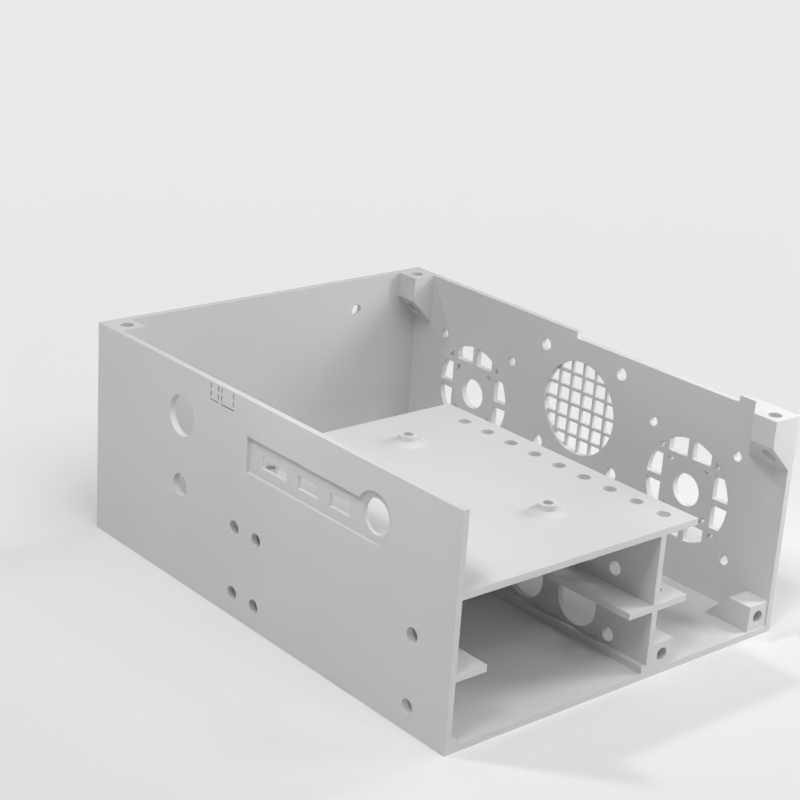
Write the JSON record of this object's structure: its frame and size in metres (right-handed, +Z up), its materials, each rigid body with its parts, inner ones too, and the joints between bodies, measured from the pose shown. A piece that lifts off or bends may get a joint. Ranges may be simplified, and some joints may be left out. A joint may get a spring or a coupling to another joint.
{
  "type": "computer case",
  "caption": "Open-topped printed computer case with a board tray over stacked drive bays, round fan grilles in one long wall and a recessed port strip in the other.",
  "frame": {"origin": "middle of the floor's underside", "axes": "+Z up, +X towards the open end, +Y towards the wall with the fan grilles"},
  "size_m": [0.25, 0.1916, 0.1018],
  "materials": {
    "chassis": "matte light grey printed plastic"
  },
  "bodies": {
    "root": {"chassis": "chassis"}
  },
  "joints": []
}
